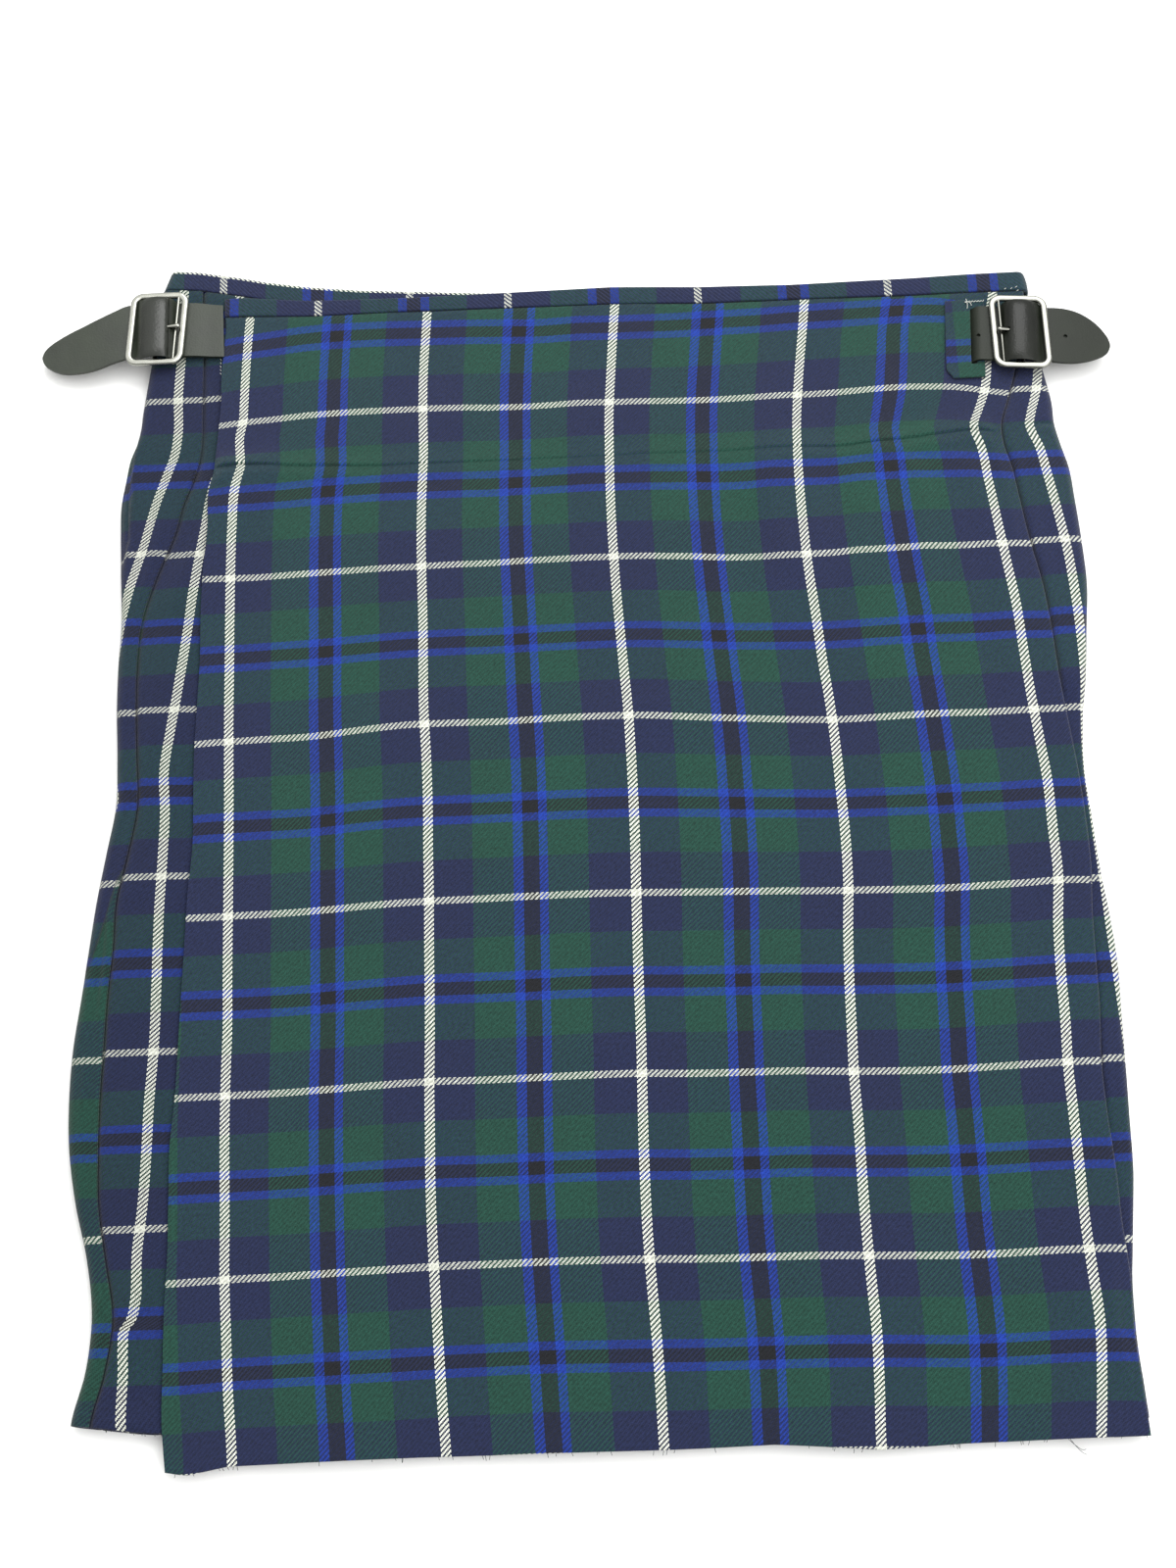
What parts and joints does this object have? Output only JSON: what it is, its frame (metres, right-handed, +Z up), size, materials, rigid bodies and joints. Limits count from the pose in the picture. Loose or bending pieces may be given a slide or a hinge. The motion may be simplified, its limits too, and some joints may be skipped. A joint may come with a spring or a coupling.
{
  "type": "kilt",
  "caption": "Knee-length pleated wrap skirt in checked wool, laid flat with its front up, fastened at both hips with leather straps and metal buckles.",
  "frame": {"origin": "on the table under the middle of the whole kilt, its straps included", "axes": "+Z up from the table to the front of the kilt, +Y from the hem to the waist, +X to the wearer's left side, which is the folded edge of the over apron"},
  "size_m": [0.5648, 0.6282, 0.019],
  "materials": {
    "wool": "2/2 twill in a check of dark blue, green, bright blue and black with a white line",
    "leather": "matt, dark olive black",
    "buckle_steel": "polished"
  },
  "bodies": {
    "root": {"over_apron": "wool", "under_apron": "wool", "left_hip_pleat": "wool", "back_pleats": "wool", "right_hip_pleat": "wool", "waistband": "wool", "slit_patch": "wool", "left_strap": "leather", "right_strap": "leather", "left_chape": "leather", "right_chape": "leather", "left_buckle": "buckle_steel", "right_buckle": "buckle_steel", "left_tongue": "buckle_steel", "right_tongue": "buckle_steel"}
  },
  "joints": []
}
